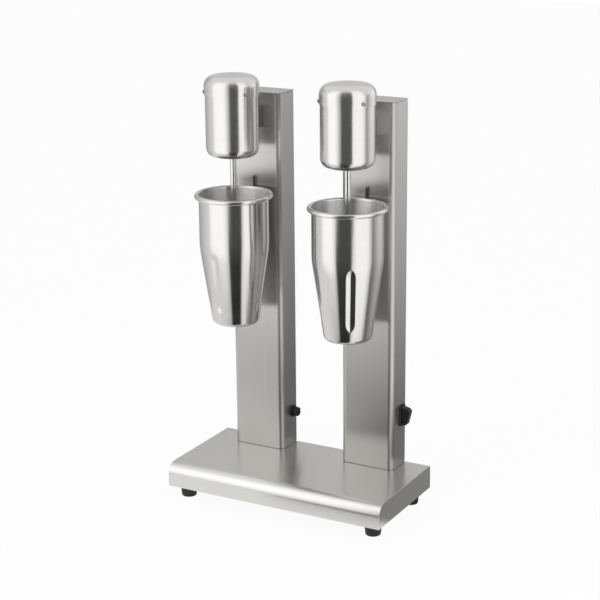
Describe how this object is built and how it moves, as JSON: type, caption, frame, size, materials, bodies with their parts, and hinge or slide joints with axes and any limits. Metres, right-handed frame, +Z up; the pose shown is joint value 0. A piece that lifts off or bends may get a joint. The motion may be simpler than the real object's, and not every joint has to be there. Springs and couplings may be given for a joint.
{
  "type": "milkshake mixer",
  "caption": "Countertop milkshake mixer: motor heads on hollow columns over a folded steel base, each with an agitator spindle and a tapered cup hung by its rolled rim.",
  "frame": {"origin": "centre of the bounding box in plan, on the surface that the feet stand on", "axes": "+Z up, -Y towards the front (the side the cups hang on), +X to the right of a person facing the front"},
  "size_m": [0.31, 0.163, 0.5631],
  "materials": {
    "brushed_steel": "brushed stainless steel",
    "polished_steel": "bright, finely brushed stainless steel",
    "shaft_steel": "ground stainless steel",
    "zinc_steel": "zinc-plated steel",
    "bush_bronze": "sintered bronze",
    "motor_windings": "enamelled copper over laminated steel",
    "motor_iron": "laminated steel",
    "foot_rubber": "matt black rubber",
    "black_plastic": "moulded, satin",
    "gloss_plastic": "moulded, semi-gloss",
    "ivory_plastic": "moulded, matt"
  },
  "bodies": {
    "stand": {"base_shell": "brushed_steel", "bottom_plate": "zinc_steel", "cord_gland": "black_plastic", "terminal_block": "ivory_plastic", "foot_front_left": "foot_rubber", "foot_front_right": "foot_rubber", "foot_back_left": "foot_rubber", "foot_back_right": "foot_rubber", "column_shell_left": "brushed_steel", "column_back_left": "brushed_steel", "column_top_left": "brushed_steel", "neck_left": "brushed_steel", "head_shell_left": "polished_steel", "head_cap_left": "polished_steel", "lower_bearing_left": "bush_bronze", "stator_left": "motor_windings", "upper_bearing_left": "zinc_steel", "cap_screw_1_left": "zinc_steel", "cap_screw_2_left": "zinc_steel", "cap_screw_3_left": "zinc_steel", "cup_hook_left": "shaft_steel", "cup_bumper_left": "foot_rubber", "microswitch_left": "black_plastic", "fuse_holder_left": "black_plastic", "column_shell_right": "brushed_steel", "column_back_right": "brushed_steel", "column_top_right": "brushed_steel", "neck_right": "brushed_steel", "head_shell_right": "polished_steel", "head_cap_right": "polished_steel", "lower_bearing_right": "bush_bronze", "stator_right": "motor_windings", "upper_bearing_right": "zinc_steel", "cap_screw_1_right": "zinc_steel", "cap_screw_2_right": "zinc_steel", "cap_screw_3_right": "zinc_steel", "cup_hook_right": "shaft_steel", "cup_bumper_right": "foot_rubber", "microswitch_right": "black_plastic", "rocker_housing_right": "black_plastic"},
    "left_spindle": {"rotor_left": "motor_iron", "spindle_left": "shaft_steel", "agitator_left": "shaft_steel"},
    "left_cup": {"cup_left": "polished_steel"},
    "left_start_lever": {"start_lever_left": "shaft_steel"},
    "left_fuse_cap": {"fuse_cap_left": "gloss_plastic"},
    "right_spindle": {"rotor_right": "motor_iron", "spindle_right": "shaft_steel", "agitator_right": "shaft_steel"},
    "right_cup": {"cup_right": "polished_steel"},
    "right_start_lever": {"start_lever_right": "shaft_steel"},
    "right_rocker": {"rocker_right": "gloss_plastic"}
  },
  "joints": [
    {"name": "left_spindle_spin", "type": "hinge", "parent": "stand", "child": "left_spindle", "pos_m": [-0.0815, -0.0218, 0.4], "axis": [0, 0, 1], "continuous": true},
    {"name": "left_cup_lift", "type": "slide", "parent": "stand", "child": "left_cup", "axis": [0, 0, 1], "range_m": [0, 0.012]},
    {"name": "left_start_lever_press", "type": "slide", "parent": "stand", "child": "left_start_lever", "axis": [0, 1, 0], "range_m": [0, 0.0016], "stiffness_N_per_m": 200, "springref_m": -0.002},
    {"name": "left_fuse_cap_turn", "type": "hinge", "parent": "stand", "child": "left_fuse_cap", "pos_m": [-0.044, 0.0604, 0.095], "axis": [-1, 0, 0], "range_deg": [0, 90]},
    {"name": "right_spindle_spin", "type": "hinge", "parent": "stand", "child": "right_spindle", "pos_m": [0.0815, -0.0218, 0.4], "axis": [0, 0, 1], "continuous": true},
    {"name": "right_cup_lift", "type": "slide", "parent": "stand", "child": "right_cup", "axis": [0, 0, 1], "range_m": [0, 0.012]},
    {"name": "right_start_lever_press", "type": "slide", "parent": "stand", "child": "right_start_lever", "axis": [0, 1, 0], "range_m": [0, 0.0016], "stiffness_N_per_m": 200, "springref_m": -0.002},
    {"name": "right_rocker_tilt", "type": "hinge", "parent": "stand", "child": "right_rocker", "pos_m": [0.1206, 0.059, 0.1172], "axis": [0, -1, 0], "range_deg": [0, 28]}
  ]
}
